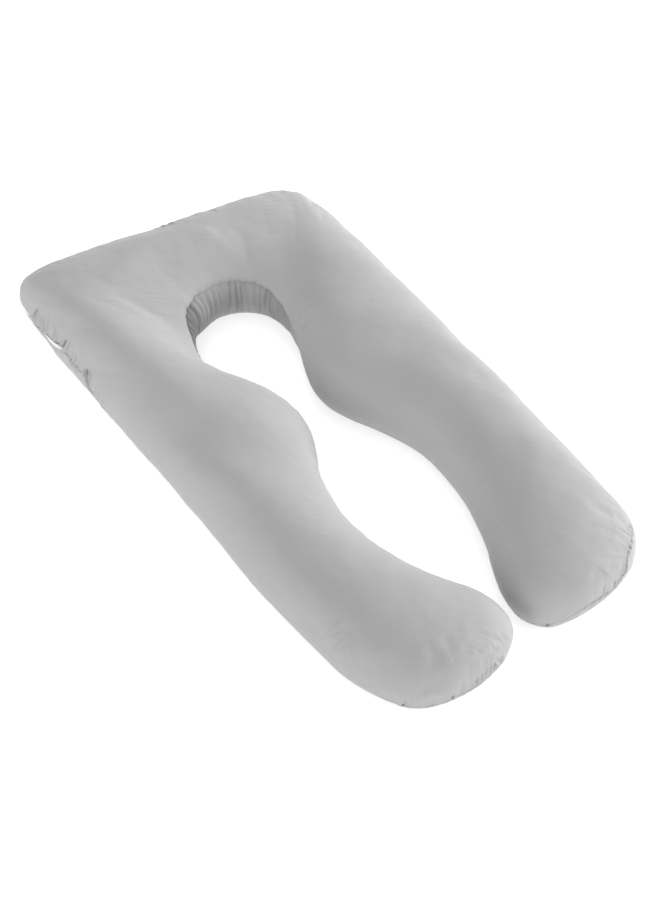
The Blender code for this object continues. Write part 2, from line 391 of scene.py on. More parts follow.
def seam_rows(obj):
    """Cuts rows of edges along the seam, and returns the seam's own points."""
    level_seam(obj.data, -1)
    bm = bmesh.new()
    bm.from_mesh(obj.data)
    for row in SEAM_ROWS:
        near = [face for face in bm.faces if abs(face.calc_center_median().z - SEAM_HEIGHT - row) < VOXEL]
        parts = {part for face in near for part in (face, *face.edges, *face.verts)}
        cut = bmesh.ops.bisect_plane(
            bm,
            geom=list(parts),
            dist=CUT_SNAP,
            plane_co=(0.0, 0.0, SEAM_HEIGHT + row),
            plane_no=(0.0, 0.0, 1.0),
        )
        if row == 0.0:
            seam = [part for part in cut["geom_cut"] if isinstance(part, bmesh.types.BMVert)]
            seam_places = [vertex.co.copy() for vertex in seam]
    bmesh.ops.triangulate(bm, faces=[face for face in bm.faces if len(face.verts) > 4])
    bm.to_mesh(obj.data)
    bm.free()
    level_seam(obj.data, 1)
    return seam_places


def in_order(places, start):
    """Walks from point to nearest next point, starting from the one nearest to start and towards -X."""
    tree = KDTree(len(places))
    for index, place in enumerate(places):
        tree.insert(place, index)
    tree.balance()
    left = set(range(len(places)))
    here = tree.find(start)[1]
    order = [here]
    left.discard(here)
    heading = Vector((-1.0, 0.0, 0.0))
    while left:
        place = places[order[-1]]
        ahead = [
            (gap, index)
            for _, index, gap in tree.find_range(place, LONGEST_STEP)
            if index in left and (places[index] - place).dot(heading) > 0
        ]
        if not ahead:
            break
        _, following = min(ahead)
        step = places[following] - place
        if step.length > SHORTEST_STEP:
            heading = (heading + step.normalized()).normalized()
        order.append(following)
        left.discard(following)
    return [places[index] for index in order]


cover = slack_cover()
blow_up(cover)
smooth_once(cover)
seam_line = in_order(seam_rows(cover), Vector((0.0, 0.66, SEAM_HEIGHT)))

# The seam's length. Places along it are counted on this length.
SEAM_LENGTH = 6.178
SEAM_STEP = 0.001


def resampled(points):
    """Evenly spaced points along the closed line, lifted to the seam's height."""
    ends = np.array([tuple(point) for point in points + points[:1]])
    gaps = np.linalg.norm(np.diff(ends, axis=0), axis=1)
    arc = np.concatenate([[0.0], np.cumsum(gaps)])
    along = np.linspace(0.0, arc[-1], round(SEAM_LENGTH / SEAM_STEP), endpoint=False)
    even = np.stack([np.interp(along, arc, ends[:, axis]) for axis in range(3)], axis=1)
    window = 9
    closed = np.concatenate([even[-window:], even, even[:window]])
    kernel = np.ones(window) / window
    soft = np.stack([np.convolve(closed[:, axis], kernel, "same") for axis in range(3)], axis=1)
    even = soft[window:-window]
    even[:, 2] = SEAM_HEIGHT + seam_rise(even[:, 0], even[:, 1])
    return even


seam_points = resampled(seam_line)
seam_ahead = np.roll(seam_points, -1, axis=0) - np.roll(seam_points, 1, axis=0)
seam_ahead /= np.linalg.norm(seam_ahead, axis=1, keepdims=True)
seam_tree = KDTree(len(seam_points))
for index, place in enumerate(seam_points):
    seam_tree.insert(place, index)
seam_tree.balance()


def seam_chart(places, reach):
    """How far along the seam and above it each place within reach of it lies. The rest have no number."""
    along = np.full(len(places), np.nan)
    above = np.full(len(places), np.nan)
    for index, place in enumerate(places):
        found, nearest, gap = seam_tree.find(place)
        if gap > reach:
            continue
        offset = place - seam_points[nearest]
        ahead = float(offset @ seam_ahead[nearest])
        along[index] = nearest * SEAM_STEP + ahead
        away = np.linalg.norm(offset - seam_ahead[nearest] * ahead)
        above[index] = math.copysign(away, offset[2])
    return along, above


def halve_faces(obj, near, calming=0):
    """Halves the faces between these vertices, and evens the vertices out."""
    bm = bmesh.new()
    bm.from_mesh(obj.data)
    bm.verts.ensure_lookup_table()
    edges = [edge for edge in bm.edges if near[edge.verts[0].index] and near[edge.verts[1].index]]
    made = bmesh.ops.subdivide_edges(bm, edges=edges, cuts=1, use_grid_fill=True)
    inner = [part for part in made["geom"] if isinstance(part, bmesh.types.BMVert)]
    for _ in range(calming):
        bmesh.ops.smooth_vert(bm, verts=inner, factor=0.5, use_axis_x=True, use_axis_y=True, use_axis_z=True)
    bmesh.ops.triangulate(bm, faces=[face for face in bm.faces if len(face.verts) > 4])
    bm.to_mesh(obj.data)
    bm.free()


def beside_seam(obj, reach, stretches):
    """Marks the vertices close to these stretches of the seam, where its small puckers are shaped."""
    along, above = seam_chart(places_of(obj.data), reach)
    near = np.zeros(len(along), dtype=bool)
    for start, end in stretches:
        near |= (along > start) & (along < end)
    return near


halve_faces(cover, beside_seam(cover, FINE_REACH, [(0.0, SEAM_LENGTH)]))
halve_faces(cover, beside_seam(cover, FINEST_REACH, FINEST_STRETCHES))


def grain_of(places, normals):
    """Where each point lay in the flat cloth: X and Y, let out where the panel bends down to its seam."""
    level = np.hypot(normals[:, 0], normals[:, 1])
    bend = np.arcsin(np.clip(level, 0.0, 1.0))
    out = BEND_RADIUS * (bend - level) / np.maximum(level, 1e-6)
    return np.stack([places[:, 0] + normals[:, 0] * out, places[:, 1] + normals[:, 1] * out], axis=1)


def keep_vectors(mesh, name, values):
    layer = mesh.attributes.new(name, "FLOAT_VECTOR", "POINT")
    full = np.zeros((len(values), 3))
    full[:, :values.shape[1]] = values
    layer.data.foreach_set("vector", full.ravel())


def keep_numbers(mesh, name, values):
    layer = mesh.attributes.new(name, "FLOAT", "POINT")
    layer.data.foreach_set("value", np.ascontiguousarray(values))


def gathering_at(along):
    """The depth and the reach of the puckers at each place along the seam."""
    depth = np.full(len(along), PLAIN_GATHERING.depth)
    reach = np.full(len(along), PLAIN_GATHERING.reach)
    for part in GATHERINGS:
        share = smoothstep(part.start - GATHERING_FADE, part.start + GATHERING_FADE, along)
        share = share * (1 - smoothstep(part.end - GATHERING_FADE, part.end + GATHERING_FADE, along))
        depth = depth + (part.depth - PLAIN_GATHERING.depth) * share
        reach = reach + (part.reach - PLAIN_GATHERING.reach) * share
    return depth, reach


def fold_depth(along, above, fold):
    """The depth of one fold at each place: a valley with a low ridge on either side, fading at its ends."""
    run = np.array([fold.to_along - fold.from_along, fold.to_above - fold.from_above])
    length = np.linalg.norm(run)
    run /= length
    across_from = (along - fold.from_along + SEAM_LENGTH / 2) % SEAM_LENGTH - SEAM_LENGTH / 2
    up_from = above - fold.from_above
    lengthways = (across_from * run[0] + up_from * run[1]) / length
    sideways = (across_from * run[1] - up_from * run[0]) / fold.width
    taper = smoothstep(-0.25, 0.25, lengthways) * (1 - smoothstep(0.45, 1.15, lengthways))
    valley = bell(sideways) - RIDGE_SHARE * bell(np.abs(sideways) - RIDGE_AT)
    return fold.depth * taper * valley


def round_noise(along, above, pitch, length, start):
    """Uneven waves along the seam that meet themselves again after one turn round the pillow."""
    turn = along / SEAM_LENGTH * 2 * math.pi
    size = SEAM_LENGTH / (2 * math.pi) / pitch
    found = []
    for angle, height in zip(turn, above):
        circle = Vector((size * math.cos(angle), size * math.sin(angle), start + height / length))
        found.append(noise.noise(circle) + 0.5 * noise.noise(circle * 2.1))
    return np.array(found)


def dress_seam(obj):
    """Draws the seam in, puckers the cloth beside it, lays the single folds and the soft hollows, and paints
    shade into the seam's groove, into the deep folds and below the zip's upper lip.
    """
    mesh = obj.data
    places = places_of(mesh)
    normals = normals_of(mesh)
    keep_vectors(mesh, "grain", grain_of(places, normals))
    along, above = seam_chart(places, CREASED_REACH)
    near = ~np.isnan(along)
    out = np.zeros(len(places))
    s = along[near] % SEAM_LENGTH
    t = above[near]
    depth, reach = gathering_at(s)
    pull = round_noise(s, t, PUCKER_PITCH, PUCKER_LENGTH, start=3.7)
    beside = np.exp(-np.abs(t) / reach) * smoothstep(0.0, PUCKERS_FROM, np.abs(t))
    shift = PUCKER_HEIGHT * depth * pull * beside
    groove = SEAM_DEPTH + SEAM_DEPTH_BY_GATHERING * depth
    shift -= groove * bell(t / SEAM_WIDTH)
    shift += ROLL_SHARE * groove * bell((np.abs(t) - ROLL_AT) / ROLL_WIDTH)
    # Painted shade in the valleys of the folds deeper than DEEP_FOLD.
    painted_valley_shade = np.zeros(len(s))
    for fold in FOLDS:
        depth_here = fold_depth(s, t, fold)
        shift -= depth_here
        if fold.depth > DEEP_FOLD:
            painted_valley_shade = np.maximum(painted_valley_shade, np.minimum(1.5 * depth_here / fold.depth, 1.0))
    streaks = round_noise(s, t, STREAK_PITCH, STREAK_LENGTH, start=31.7)
    slit = smoothstep(SLIT_FROM - SLIT_FADE, SLIT_FROM, s) * smoothstep(SLIT_TO + SLIT_FADE, SLIT_TO, s)
    mouth = slit * smoothstep(SLIT_WIDTH, SLIT_WIDTH * 0.7, np.abs(t))
    shift = shift * (1 - mouth) - SLIT_DEPTH * mouth
    shift += LIP_HEIGHT * slit * bell((t - SLIT_WIDTH) / LIP_WIDTH)
    streaked = smoothstep(CREASED_REACH, 0.07, np.abs(t)) * smoothstep(0.0, 0.05, np.abs(t))
    shift += STREAK_DEPTH * streaks * streaked
    out[near] = shift
    for hollow in HOLLOWS:
        offset = places - np.array([hollow.x, hollow.y, hollow.z])
        turn = math.radians(hollow.turn)
        lengthways = (offset[:, 0] * math.cos(turn) + offset[:, 1] * math.sin(turn)) / hollow.length
        crossways = (offset[:, 1] * math.cos(turn) - offset[:, 0] * math.sin(turn)) / hollow.width
        upward = offset[:, 2] / hollow.width
        out -= hollow.depth * np.exp(-(lengthways**2) - crossways**2 - 0.5 * upward**2)
    lumps = np.array([
        BROAD_LUMP * noise.noise(Vector(place) / BROAD_LUMP_SIZE)
        + SMALL_LUMP * noise.noise(Vector(place) / SMALL_LUMP_SIZE + SMALL_LUMP_START)
        for place in places
    ])
    free = smoothstep(0.0, FLOOR_REACH, places[:, 2])
    out = (out + lumps) * free
    final = places + normals * out[:, None]
    final[:, 2] = np.maximum(final[:, 2], 0.0)
    put(mesh, final)
    # Painted shade, kept in the seam attribute that darkens the cloth's colour: a line in the seam's groove,
    # darker where the seam is gathered, the valleys of the deep folds, and the shadow below the upper lip of
    # the zip's opening.
    shade = np.zeros(len(places))
    line = (PLAIN_SHADE + SHADE_BY_GATHERING * depth) * bell(t / SEAM_LINE_WIDTH) * (1 - slit)
    lip = slit * bell((t - SLIT_WIDTH * 0.66) / LIP_SHADE_WIDTH)
    shade[near] = np.maximum(np.maximum(line, lip), painted_valley_shade)
    keep_numbers(mesh, "seam", shade)


dress_seam(cover)
shade_smooth(cover.data)


class Finish:
    """A Principled material and the nodes that feed it."""

    def __init__(self, name, colour, roughness):
        self.material = bpy.data.materials.new(name)
        self.material.use_nodes = True
        self.tree = self.material.node_tree
        self.shader = self.tree.nodes["Principled BSDF"]
        self.shader.inputs["Base Color"].default_value = (*colour, 1.0)
        self.shader.inputs["Roughness"].default_value = roughness
        self.material.diffuse_color = (*colour, 1.0)

    def node(self, kind, **values):
        made = self.tree.nodes.new(kind)
        for name, value in values.items():
            if name in made.inputs:
                made.inputs[name].default_value = value
            else:
                setattr(made, name, value)
        return made

    def wire(self, source, target):
        self.tree.links.new(source, target)

    def maths(self, kind, first, second):
        made = self.node("ShaderNodeMath", operation=kind)
        for socket, value in zip(made.inputs, (first, second)):
            if isinstance(value, (int, float)):
                socket.default_value = value
            else:
                self.wire(value, socket)
        return made.outputs[0]

    def attribute(self, name):
        return self.node("ShaderNodeAttribute", attribute_name=name)

    def noise(self, vector, scale, detail=2.0, roughness=0.5):
        made = self.node("ShaderNodeTexNoise", Scale=scale, Detail=detail, Roughness=roughness)
        self.wire(vector, made.inputs["Vector"])
        return made.outputs["Fac"]

    def weave(self, vector, pitch):
        """A plain weave: a thread crest in each cell of a chequer, over and under in turn."""
        parts = self.node("ShaderNodeSeparateXYZ")
        self.wire(vector, parts.inputs[0])
        waves = [
            self.maths("SINE", self.maths("MULTIPLY", parts.outputs[axis], math.pi / pitch), 0.0)
            for axis in (0, 1)
        ]
        return self.maths("MULTIPLY", waves[0], waves[1])

    def bump(self, height, strength, distance, under=None):
        made = self.node("ShaderNodeBump", Strength=strength, Distance=distance)
        self.wire(height, made.inputs["Height"])
        if under is not None:
            self.wire(under, made.inputs["Normal"])
        return made.outputs["Normal"]

    def colour_mix(self, share, dark, light):
        made = self.node("ShaderNodeMix", data_type="RGBA")
        made.inputs[6].default_value = (*dark, 1.0)
        made.inputs[7].default_value = (*light, 1.0)
        self.wire(share, made.inputs[0])
        return made.outputs[2]


THREAD_PITCH = 0.0006
COTTON = (0.455, 0.455, 0.460)
FADING = 0.045
# Painted shade: the colour towards which the seam attribute darkens the cotton.
SEAM_SHADOW = (0.34, 0.34, 0.35)

# Fine ripples of the cloth: the way they run, and how long, how far apart and how high they are.
RIPPLE_TURN = math.radians(-34.7)
RIPPLE_SIZE = (0.075, 0.0095, 0.033)


def cotton(name, shade):
    """Smooth brushed cotton: a fine plain weave with uneven threads, a soft nap and a little fading. The seam
    attribute paints shade into it, and a shade below 1 paints the whole copy darker.
    """
    finish = Finish(name, COTTON, 0.92)
    grain = finish.attribute("grain").outputs["Vector"]
    place = finish.node("ShaderNodeTexCoord").outputs["Object"]
    cloudy = finish.noise(place, scale=7.0, detail=3.0)
    slubs = finish.noise(grain, scale=420.0, detail=2.0, roughness=0.6)
    mixed = finish.maths("ADD", finish.maths("MULTIPLY", cloudy, 0.75), finish.maths("MULTIPLY", slubs, 0.25))
    dark = tuple(shade * value * (1 - FADING) for value in COTTON)
    light = tuple(shade * value * (1 + FADING) for value in COTTON)
    colour = finish.colour_mix(mixed, dark, light)
    # Painted shade: the seam attribute darkens the colour towards SEAM_SHADOW.
    line = finish.node("ShaderNodeMix", data_type="RGBA", blend_type="MULTIPLY")
    line.inputs[7].default_value = (*SEAM_SHADOW, 1.0)
    finish.wire(finish.attribute("seam").outputs["Fac"], line.inputs[0])
    finish.wire(colour, line.inputs[6])
    finish.wire(line.outputs[2], finish.shader.inputs["Base Color"])
    rough = finish.maths("ADD", finish.maths("MULTIPLY", slubs, 0.10), 0.84)
    finish.wire(rough, finish.shader.inputs["Roughness"])
    ripples = finish.node("ShaderNodeMapping", vector_type="TEXTURE")
    ripples.inputs["Rotation"].default_value = (0.0, 0.0, RIPPLE_TURN)
    ripples.inputs["Scale"].default_value = RIPPLE_SIZE
    finish.wire(place, ripples.inputs["Vector"])
    ripple = finish.noise(ripples.outputs["Vector"], scale=1.0, detail=2.0)
    patches = finish.maths("POWER", finish.noise(place, scale=6.0, detail=1.0), 4.0)
    creases = finish.noise(place, scale=34.0, detail=5.0, roughness=0.60)
    rippled = finish.bump(finish.maths("MULTIPLY", patches, ripple), strength=0.85, distance=0.0080)
    creased = finish.bump(creases, strength=0.40, distance=0.0032, under=rippled)
    threads = finish.bump(finish.weave(grain, THREAD_PITCH), strength=0.30, distance=0.00012, under=creased)
    napped = finish.bump(slubs, strength=0.35, distance=0.0002, under=threads)
    finish.wire(napped, finish.shader.inputs["Normal"])
    finish.shader.inputs["Sheen Weight"].default_value = 0.24
    finish.shader.inputs["Sheen Roughness"].default_value = 0.45
    finish.shader.inputs["Specular IOR Level"].default_value = 0.25
    return finish.material


cover.data.materials.clear()
cover.data.materials.append(cotton("grey_cotton", 1.0))
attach(cover, "root")
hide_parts("pillow")

# The neck band
# A straight strip of the same cotton, gathered on to the edge of the round neck opening and sewn to the top
# panel above and to the bottom panel below. It lies a little deeper than the panels, which roll over its
# seams, and its gathers stand upright and run unevenly from seam to seam.
NECK_CENTRE = Vector((-0.0121, 0.2601, 0.0))
BAND_FROM = math.radians(-24)
BAND_TO = math.radians(204)
BAND_BOTTOM = 0.022
NECK_REACH = 0.185
BAND_RADIUS = 0.125
BAND_END_WIDTH = 0.014
BAND_THICKNESS = 0.0011
BAND_RUN = 0.13
BAND_GAP = 0.0010
TUCKED_DEPTH = 0.0004
BAND_COLUMNS = 340
BAND_ROWS = 60
BAND_SUNK = 0.0014
BAND_FULLNESS = 0.0019
GATHER_WIDTH = math.radians(3.3)
GATHER_HEIGHT = 0.0015
# Painted shade: in the pleats' valleys, by their depth, and over the strip's two end parts, most over the -X
# one.
PLEAT_SHADE = 85.0
PAINTED_END_SHADE = 0.70
LOWER_GATHERS = 0.45
CALMED_GATHERS = 0.80
PLEAT_RIDGE = 0.30
PLEAT_RIDGE_AT = 1.7
PLEAT_REACH = 4
SECOND_SEAM = 0.26
SECOND_SEAM_DEPTH = 0.0010

# The panels roll over the strip's edges: where the neck's wall ends, how softly it is drawn in, and the lip of
# the top panel with the painted shadow below it.
WALL_FADE = (0.176, 0.160)
EDGE_ROLL = 0.006
LIP_ABOVE = 0.007
LIP_REACH = 0.005
LIP_RISE = 0.0008
LIP_SHADOW = 0.12
LIP_SHADOW_WIDTH = 0.002
EVENED_COLUMNS = 4
EVENED_ROWS = 2

# The upper seam's height above the floor, by the angle round the neck.
SeamPoint = namedtuple("SeamPoint", "degrees height")
UPPER_SEAM = (
    SeamPoint(-24.0, 0.088),
    SeamPoint(-10.0, 0.104),
    SeamPoint(12.0, 0.115),
    SeamPoint(40.0, 0.123),
    SeamPoint(115.0, 0.126),
    SeamPoint(128.0, 0.123),
    SeamPoint(150.0, 0.104),
    SeamPoint(180.0, 0.096),
    SeamPoint(204.0, 0.085),
)

# The upper seam waves a little: how high, how many radians for each degree, and where the wave starts.
SeamWave = namedtuple("SeamWave", "height pace start")
SEAM_WAVES = (SeamWave(0.0009, 0.9, 0.0), SeamWave(0.0007, 0.37, 1.3))

# The deeper pleats between the gathers: the angle at the upper and at the lower seam, the width in degrees
# and the depth.
Pleat = namedtuple("Pleat", "top bottom width depth")
PLEATS = (
    Pleat(117.0, 128.0, 2.0, 0.0028),
    Pleat(108.5, 114.0, 1.5, 0.0012),
    Pleat(103.5, 107.5, 1.5, 0.0015),
    Pleat(96.5, 101.5, 1.6, 0.0020),
    Pleat(90.5, 92.5, 1.5, 0.0014),
    Pleat(84.0, 86.0, 1.5, 0.0014),
    Pleat(71.5, 78.0, 1.8, 0.0034),
    Pleat(66.8, 66.5, 1.5, 0.0036),
    Pleat(62.0, 61.5, 1.4, 0.0024),
    Pleat(50.2, 49.0, 1.4, 0.0020),
    Pleat(44.0, 43.0, 1.4, 0.0022),
    Pleat(38.0, 36.0, 1.4, 0.0024),
    Pleat(32.0, 31.0, 1.6, 0.0032),
    Pleat(20.0, 17.0, 2.0, 0.0014),
    Pleat(8.0, 6.0, 2.2, 0.0012),
    Pleat(-4.0, -5.0, 2.2, 0.0010),
    Pleat(138.0, 141.0, 2.0, 0.0014),
    Pleat(150.0, 152.0, 1.8, 0.0012),
    Pleat(166.0, 165.0, 2.0, 0.0012),
    Pleat(181.0, 180.0, 2.0, 0.0010),
)


def rounded(share):
    """Rises steeply from 0 at either end to 1 in the middle."""
    return np.sqrt(np.maximum(np.sin(np.pi * np.clip(share, 0.0, 1.0)), 0.0))


def band_edges(u):
    """The heights of the strip's lower and upper edge, u of the way round."""
    degrees = np.degrees(BAND_FROM + (BAND_TO - BAND_FROM) * u)
    top = np.interp(degrees, [point.degrees for point in UPPER_SEAM], [point.height for point in UPPER_SEAM])
    for wave in SEAM_WAVES:
        top = top + wave.height * np.sin(degrees * wave.pace + wave.start)
    middle = (top + BAND_BOTTOM) / 2
    half = (BAND_END_WIDTH + (top - BAND_BOTTOM - BAND_END_WIDTH) * rounded(u)) / 2
    return middle - half, middle + half


def on_skin(skin, angle, height):
    """The point of the cover behind the strip, its normal, and the way out from the neck's middle."""
    direction = Vector((math.cos(angle), math.sin(angle), 0.0))
    place, normal, _, _ = skin.ray_cast(NECK_CENTRE + Vector((0.0, 0.0, height)), direction)
    return place, normal, direction


def band_lift(u, v):
    """How far the strip stands off the cover, drawn in at its seams, and its painted shade: a little all along,
    more in its valleys, along its second seam and top edge, much more over its -X part and some over its +X
    part, fading out at its very ends.
    """
    angle = BAND_FROM + (BAND_TO - BAND_FROM) * u
    between = float(rounded(v))
    gather = noise.noise(Vector((angle / GATHER_WIDTH, v * 1.4, 21.3)))
    gather += 0.5 * noise.noise(Vector((angle / GATHER_WIDTH * 2.3, v * 2.2, 4.9)))
    low = LOWER_GATHERS + (1 - LOWER_GATHERS) * float(smoothstep(0.2, 0.5, v))
    calm = float(smoothstep(1.0, 0.82, v) * (1 - CALMED_GATHERS * smoothstep(0.48, 0.62, u)))
    lift = BAND_FULLNESS * between + GATHER_HEIGHT * gather * (0.5 + 0.5 * between) * low * calm
    # Painted shade over the -X part of the strip and some over its +X part, where the neck opening shades it,
    # and more in the gathers' valleys.
    painted_end_shade = PAINTED_END_SHADE * float(smoothstep(0.54, 0.68, u) + 0.35 * smoothstep(0.36, 0.18, u))
    shade = 0.08 + painted_end_shade - 0.38 * min(gather, 0.0)
    degrees = math.degrees(angle)
    for pleat in PLEATS:
        sideways = (degrees - pleat.bottom - (pleat.top - pleat.bottom) * v) / pleat.width
        if abs(sideways) < PLEAT_REACH:
            valley = bell(sideways) - PLEAT_RIDGE * bell(abs(sideways) - PLEAT_RIDGE_AT)
            lift -= pleat.depth * float(valley) * between * low
            # Painted shade in the pleat's valley.
            shade += PLEAT_SHADE * pleat.depth * math.exp(-2 * sideways**2) * low
    lift -= SECOND_SEAM_DEPTH * float(bell((v - SECOND_SEAM) / 0.025))
    # Painted shade along the second seam and along the strip's top edge.
    shade += 0.12 * float(bell((v - SECOND_SEAM) / 0.014)) + 0.10 * float(bell((1 - v) / 0.03))
    ends = float(smoothstep(0.02, 0.14, u) * smoothstep(1.0, 0.94, u))
    return lift, shade * ends


def round_neck(obj):
    """Marks the vertices of the neck's wall, with the roll of the panel above it."""
    places = places_of(obj.data)
    offset = places[:, :2] - np.array(NECK_CENTRE)[:2]
    turn = (np.arctan2(offset[:, 1], offset[:, 0]) - BAND_FROM) % (2 * math.pi)
    wall = (turn < BAND_TO - BAND_FROM) & (np.hypot(offset[:, 0], offset[:, 1]) < NECK_REACH)
    return wall & (places[:, 2] > BAND_BOTTOM / 2) & ((normals_of(obj.data)[:, :2] * offset).sum(axis=1) < 0)


def evened(values, columns, rows):
    """The mean of each value of a grid and its neighbours, so many to each side."""
    for axis, reach in ((0, columns), (1, rows)):
        padding = [(0, 0), (0, 0)]
        padding[axis] = (reach, reach)
        wide = np.pad(values, padding, mode="edge")
        size = values.shape[axis]
        values = sum(np.take(wide, range(start, start + size), axis=axis) for start in range(2 * reach + 1))
        values = values / (2 * reach + 1)
    return values


def sink_band(obj):
    """Draws the cover in behind the strip, so that the panels roll over its upper and lower seams, and paints a
    shadow below the top panel's lip.
    """
    places = places_of(obj.data)
    normals = normals_of(obj.data)
    offset = places[:, :2] - np.array(NECK_CENTRE)[:2]
    turn = (np.arctan2(offset[:, 1], offset[:, 0]) - BAND_FROM) % (2 * math.pi)
    u = turn / (BAND_TO - BAND_FROM)
    low, high = band_edges(u)
    v = (places[:, 2] - low) / (high - low)
    inside = (u < 1) * smoothstep(*WALL_FADE, np.hypot(offset[:, 0], offset[:, 1]))
    inside *= smoothstep(0.0, -0.03, (normals[:, :2] * offset).sum(axis=1))
    ends = smoothstep(0.0, 0.12, u) * smoothstep(1.0, 0.85, u)
    height = high - low
    edge = EDGE_ROLL / height
    sunk = smoothstep(-edge, edge, v) * smoothstep(1 + edge, 1 - edge, v) * ends * inside
    above = (v - 1) * height
    lip = bell((above - LIP_ABOVE) / LIP_REACH) * inside
    lip *= smoothstep(0.10, 0.35, u) * smoothstep(0.85, 0.60, u)
    put(obj.data, places - normals * (BAND_SUNK * sunk - LIP_RISE * lip)[:, None])
    # Painted shadow below the top panel's lip, added to the cover's seam attribute.
    shade = np.empty(len(places))
    obj.data.attributes["seam"].data.foreach_get("value", shade)
    middle = smoothstep(0.14, 0.30, u) * smoothstep(0.80, 0.62, u)
    line = LIP_SHADOW * bell(above / LIP_SHADOW_WIDTH) * middle * inside
    obj.data.attributes["seam"].data.foreach_set("value", np.maximum(shade, line))


def skin_of(obj):
    return BVHTree.FromObject(obj, bpy.context.evaluated_depsgraph_get())


halve_faces(cover, round_neck(cover), calming=4)
sink_band(cover)
skin = skin_of(cover)
wall = np.zeros((BAND_COLUMNS + 1, BAND_ROWS + 1))
for column, row in np.ndindex(wall.shape):
    low, high = band_edges(column / BAND_COLUMNS)
    angle = BAND_FROM + (BAND_TO - BAND_FROM) * column / BAND_COLUMNS
    place, _, direction = on_skin(skin, angle, float(low + (high - low) * row / BAND_ROWS))
    wall[column, row] = direction.dot(place - NECK_CENTRE)
wall = evened(wall, EVENED_COLUMNS, EVENED_ROWS)
bm = bmesh.new()
bmesh.ops.create_grid(bm, x_segments=BAND_COLUMNS, y_segments=BAND_ROWS, size=0.5)
grain = []
painted_band_shade = []
for vertex in bm.verts:
    u = vertex.co.x + 0.5
    v = vertex.co.y + 0.5
    low, high = band_edges(u)
    height = float(low + (high - low) * v)
    angle = BAND_FROM + (BAND_TO - BAND_FROM) * u
    _, normal, direction = on_skin(skin, angle, height)
    slant = max(-direction.dot(normal), 0.6)
    out = wall[round(u * BAND_COLUMNS), round(v * BAND_ROWS)]
    lift, shade = band_lift(u, v)
    tucked = float(smoothstep(0.0, 0.06, u) * smoothstep(1.0, 0.94, u) * smoothstep(1.0, 0.94, v))
    off = (BAND_GAP + max(lift, 0.0)) * tucked - TUCKED_DEPTH * (1 - tucked)
    vertex.co = NECK_CENTRE + Vector((0.0, 0.0, height)) + direction * (out - off / slant)
    grain.append((angle * BAND_RUN, height))
    painted_band_shade.append(shade)
band_mesh = bpy.data.meshes.new("neck_band_cloth")
bm.to_mesh(band_mesh)
bm.free()
keep_vectors(band_mesh, "grain", np.array(grain))
# The strip's painted shade, kept in the seam attribute that darkens its colour.
keep_numbers(band_mesh, "seam", np.array(painted_band_shade))
band = link(bpy.data.objects.new("neck_band_cloth", band_mesh))
thick = band.modifiers.new("thickness", "SOLIDIFY")
thick.thickness = BAND_THICKNESS
thick.offset = -1.0
band_mesh = flattened(band, "neck_band_cloth")
shade_smooth(band_mesh)
band_mesh.materials.clear()
# The strip's copy of the cotton is painted a tenth darker, as shade down in the neck opening.
band_mesh.materials.append(cotton("band_cotton_painted_darker", 0.90))
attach(band, "root")
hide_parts("neck_band")

# The band's stitching
# The gathers are held by a row of short grey stitches, sewn through the rolled edge of the top panel.
STITCH_LENGTH = 0.0028
STITCH_PITCH = 0.0046
STITCH_RADIUS = 0.00035
STITCH_ABOVE = 0.0022
STITCHES = int((BAND_TO - BAND_FROM) * BAND_RADIUS / STITCH_PITCH)
BARE_STITCHES = 4


def add_bead(bm, ends, radius):
    """A long small bead between two places."""
    along = ends[1] - ends[0]
    turn = along.to_track_quat("Z", "Y").to_matrix().to_4x4()
    made = bmesh.ops.create_uvsphere(bm, u_segments=6, v_segments=4, radius=radius)
    long = Matrix.Diagonal((1.0, 1.0, along.length / (2 * radius), 1.0))
    middle = Matrix.Translation((ends[0] + ends[1]) / 2)
    bmesh.ops.transform(bm, matrix=middle @ turn @ long, verts=made["verts"])


bm = bmesh.new()
for index in range(BARE_STITCHES, STITCHES - BARE_STITCHES):
    ends = []
    for side in (-0.5, 0.5):
        u = (index + 0.5 + side * STITCH_LENGTH / STITCH_PITCH) / STITCHES
        low, high = band_edges(u)
        angle = BAND_FROM + (BAND_TO - BAND_FROM) * u
        place, normal, _ = on_skin(skin, angle, float(high) + STITCH_ABOVE)
        ends.append(place + normal * STITCH_RADIUS * 0.6)
    add_bead(bm, ends, STITCH_RADIUS)
stitch_mesh = bpy.data.meshes.new("band_stitching")
bm.to_mesh(stitch_mesh)
bm.free()
shade_smooth(stitch_mesh)
stitching = link(bpy.data.objects.new("band_stitching", stitch_mesh))
stitch_mesh.materials.append(Finish("grey_thread", (0.50, 0.50, 0.505), 0.7).material)
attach(stitching, "root")

# The zip
# A white nylon coil zip let into the outer seam of the -X side, next to the head corner. The seam gapes
# there, so that its woven tape and its coil show between the two panels. The far end of the tape peeps out
# below the seam where the seam turns into the corner.
ZIP_PROUD = 0.0016
TAPE_THICKNESS = 0.0007
TAPE_SIZE = (0.08, 0.008)
TAPE_HELD = (0.08, 0.5, 0.92)
TAIL_FROM = 0.345
TAIL_TO = 0.425
TAIL_WIDTH = 0.0030
TAIL_BELOW = 0.001
TAIL_DROOP = 0.002
TAIL_PROUD = 0.0005
COIL_TURNS = 48
COIL_RADIUS = 0.00045
COIL_START = 0.06
COIL_SIDES = (0.30, 0.70)
CAST_FROM = 0.1


def seam_place(along, above, out):
    """A point of the cover beside the seam: so far along it, so far above it, and so far off the cloth."""
    index = int(round(along / SEAM_STEP)) % len(seam_points)
    ahead = Vector(seam_ahead[index])
    away = ahead.cross(Vector((0.0, 0.0, 1.0))).normalized()
    if away.dot(Vector(seam_points[index])) < 0:
        away.negate()
    start = Vector(seam_points[index]) + Vector((0.0, 0.0, above)) + away * CAST_FROM
    place, normal, _, _ = skin.ray_cast(start, -away)
    return place + away * out, away


